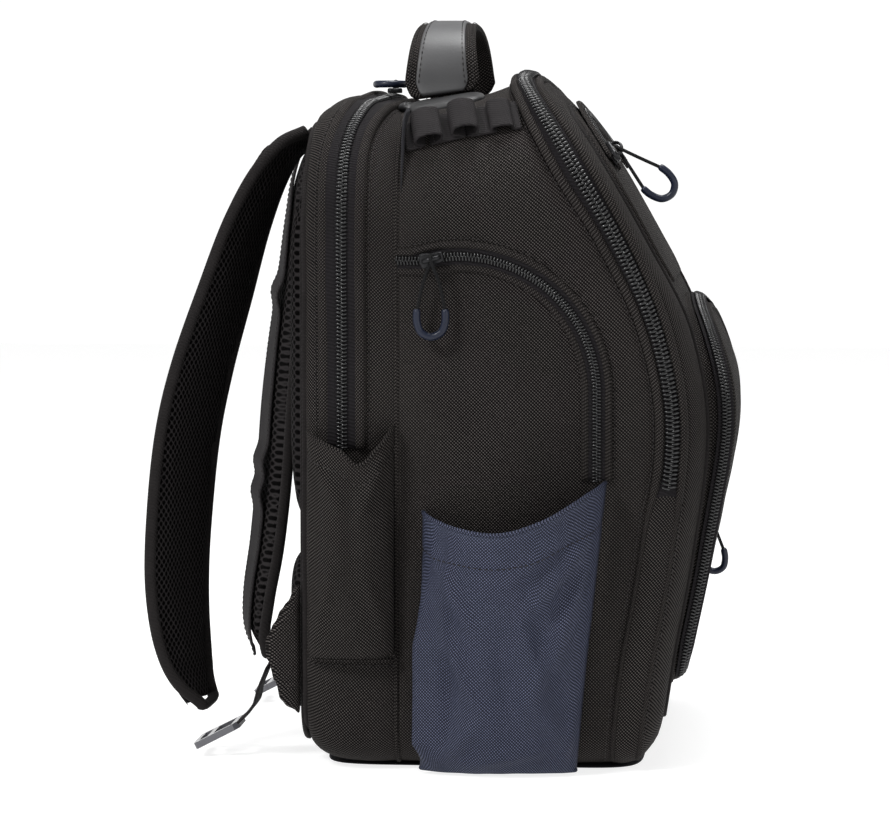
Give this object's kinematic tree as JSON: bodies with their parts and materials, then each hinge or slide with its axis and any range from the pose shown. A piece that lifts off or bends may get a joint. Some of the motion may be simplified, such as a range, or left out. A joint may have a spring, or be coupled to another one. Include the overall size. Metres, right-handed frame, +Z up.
{
  "type": "racket backpack",
  "caption": "Upright sewn backpack with a flat rear compartment, main and front zip compartments, open side pockets, padded straps and a moulded carry handle.",
  "frame": {"origin": "centre of the bounding box at the bottom of the base", "axes": "+Z up, +X towards the front pockets, -X towards the wearer's back, +Y towards the right-hand side as seen from behind the wearer"},
  "size_m": [0.3486, 0.4048, 0.4415],
  "materials": {
    "black_twill": "coated nylon twill, matt",
    "navy_twill": "nylon twill, matt",
    "air_mesh": "open spacer mesh over foam",
    "zipper_chain": "woven tape with a glossy nylon coil",
    "slider_metal": "black satin",
    "pull_cord": "braided",
    "navy_rubber": "moulded, satin",
    "handle_rubber": "moulded, satin",
    "webbing": "ribbed polyester webbing",
    "buckle_plastic": "moulded acetal, glossy",
    "lining": "foam-backed lining"
  },
  "bodies": {
    "bag": {"rear_shell": "black_twill", "main_shell": "black_twill", "main_zipper": "zipper_chain", "organiser_shell": "black_twill", "divider_wall": "lining", "laptop_sleeve": "lining", "lower_pocket_shell": "black_twill", "lower_pocket_zipper": "zipper_chain", "upper_pocket_panel": "black_twill", "upper_pocket_zipper": "zipper_chain", "rear_zipper": "zipper_chain", "base_panel": "black_twill", "back_panel": "air_mesh", "back_pad_left": "air_mesh", "back_pad_right": "air_mesh", "lumbar_pad": "air_mesh", "side_zipper_left": "zipper_chain", "bottle_pocket_left": "navy_twill", "umbrella_pocket_left": "black_twill", "wing_left": "black_twill", "lower_webbing_left": "webbing", "daisy_chain_left": "webbing", "handle_foot_left": "handle_rubber", "side_zipper_right": "zipper_chain", "bottle_pocket_right": "navy_twill", "umbrella_pocket_right": "black_twill", "wing_right": "black_twill", "lower_webbing_right": "webbing", "daisy_chain_right": "webbing", "handle_foot_right": "handle_rubber"},
    "rear_slider": {"rear_slider": "slider_metal"},
    "rear_pull": {"rear_cord": "pull_cord", "rear_grip": "navy_rubber"},
    "main_lower_slider": {"main_lower_slider": "slider_metal"},
    "main_lower_pull": {"main_lower_cord": "pull_cord", "main_lower_grip": "navy_rubber"},
    "main_upper_slider": {"main_upper_slider": "slider_metal"},
    "main_upper_pull": {"main_upper_cord": "pull_cord", "main_upper_grip": "navy_rubber"},
    "lower_pocket_slider": {"lower_pocket_slider": "slider_metal"},
    "lower_pocket_pull": {"lower_pocket_cord": "pull_cord", "lower_pocket_grip": "navy_rubber"},
    "upper_pocket_slider": {"upper_pocket_slider": "slider_metal"},
    "upper_pocket_pull": {"upper_pocket_cord": "pull_cord", "upper_pocket_grip": "navy_rubber"},
    "side_left_slider": {"side_left_slider": "slider_metal"},
    "side_left_pull": {"side_left_cord": "pull_cord", "side_left_grip": "navy_rubber"},
    "side_right_slider": {"side_right_slider": "slider_metal"},
    "side_right_pull": {"side_right_cord": "pull_cord", "side_right_grip": "navy_rubber"},
    "strap_left": {"strap_pad_left": "air_mesh", "strap_webbing_left": "webbing"},
    "ladder_lock_left": {"ladder_lock_left": "buckle_plastic"},
    "strap_right": {"strap_pad_right": "air_mesh", "strap_webbing_right": "webbing"},
    "ladder_lock_right": {"ladder_lock_right": "buckle_plastic"},
    "haul_handle": {"haul_handle": "handle_rubber"}
  },
  "joints": [
    {"name": "strap_left_swing", "type": "hinge", "parent": "bag", "child": "strap_left", "pos_m": [-0.08235, -0.062, 0.373], "axis": [0, 1, 0], "range_deg": [0, 15]},
    {"name": "ladder_lock_left_tilt", "type": "hinge", "parent": "strap_left", "child": "ladder_lock_left", "pos_m": [-0.14485, -0.1, 0.0075], "axis": [0, 1, 0], "range_deg": [-12, 20]},
    {"name": "strap_right_swing", "type": "hinge", "parent": "bag", "child": "strap_right", "pos_m": [-0.08235, 0.062, 0.373], "axis": [0, 1, 0], "range_deg": [0, 15]},
    {"name": "ladder_lock_right_tilt", "type": "hinge", "parent": "strap_right", "child": "ladder_lock_right", "pos_m": [-0.1372, 0.1, 0.0075], "axis": [0, 1, 0], "range_deg": [-12, 20]},
    {"name": "haul_handle_rock", "type": "hinge", "parent": "bag", "child": "haul_handle", "pos_m": [-0.00235, 0, 0.401], "axis": [0, 1, 0], "range_deg": [-6, 6]},
    {"name": "rear_slider_run", "type": "hinge", "parent": "bag", "child": "rear_slider", "pos_m": [-0.03635, 0, -0.3959], "axis": [1, 0, 0], "range_deg": [-5, 4.5]},
    {"name": "rear_pull_flip", "type": "hinge", "parent": "rear_slider", "child": "rear_pull", "pos_m": [-0.03635, -0.005, 0.4015], "axis": [1, 0, 0], "range_deg": [-165, 0]},
    {"name": "main_lower_slider_run", "type": "slide", "parent": "bag", "child": "main_lower_slider", "axis": [0.078, 0, 0.997], "range_m": [0, 0.035]},
    {"name": "main_lower_pull_flip", "type": "hinge", "parent": "main_lower_slider", "child": "main_lower_pull", "pos_m": [0.13646, 0.1553, 0.182], "axis": [0.997, 0, -0.078], "range_deg": [0, 110]},
    {"name": "main_upper_slider_run", "type": "slide", "parent": "bag", "child": "main_upper_slider", "axis": [-0.4325, 0, 0.9016], "range_m": [-0.01, 0.045]},
    {"name": "main_upper_pull_flip", "type": "hinge", "parent": "main_upper_slider", "child": "main_upper_pull", "pos_m": [0.11313, 0.1553, 0.292], "axis": [0.9016, 0, 0.4325], "range_deg": [0, 110]},
    {"name": "lower_pocket_slider_run", "type": "slide", "parent": "bag", "child": "lower_pocket_slider", "axis": [0.1619, 0, 0.9868], "range_m": [-0.035, 0.05]},
    {"name": "lower_pocket_pull_flip", "type": "hinge", "parent": "lower_pocket_slider", "child": "lower_pocket_pull", "pos_m": [0.15593, 0.1207, 0.128], "axis": [0.9868, 0, -0.1619], "range_deg": [0, 100]},
    {"name": "upper_pocket_slider_run", "type": "hinge", "parent": "bag", "child": "upper_pocket_slider", "pos_m": [0.13748, 0, 0.30169], "axis": [0.8231, 0, 0.5679], "range_deg": [-88, 2]},
    {"name": "upper_pocket_pull_flip", "type": "hinge", "parent": "upper_pocket_slider", "child": "upper_pocket_pull", "pos_m": [0.10314, -0.07122, 0.36327], "axis": [-0.3986, -0.7122, 0.5778], "range_deg": [0, 90]},
    {"name": "side_left_slider_run", "type": "hinge", "parent": "bag", "child": "side_left_slider", "pos_m": [0.01565, -0.156, 0.222], "axis": [0, 1, 0], "range_deg": [-3, 98]},
    {"name": "side_left_pull_flip", "type": "hinge", "parent": "side_left_slider", "child": "side_left_pull", "pos_m": [-0.00018, -0.1653, 0.2994], "axis": [1, 0, 0], "range_deg": [-110, 0]},
    {"name": "side_right_slider_run", "type": "hinge", "parent": "bag", "child": "side_right_slider", "pos_m": [0.01565, 0.156, 0.222], "axis": [0, 1, 0], "range_deg": [-3, 98]},
    {"name": "side_right_pull_flip", "type": "hinge", "parent": "side_right_slider", "child": "side_right_pull", "pos_m": [-0.00018, 0.1653, 0.2994], "axis": [1, 0, 0], "range_deg": [0, 110]}
  ]
}
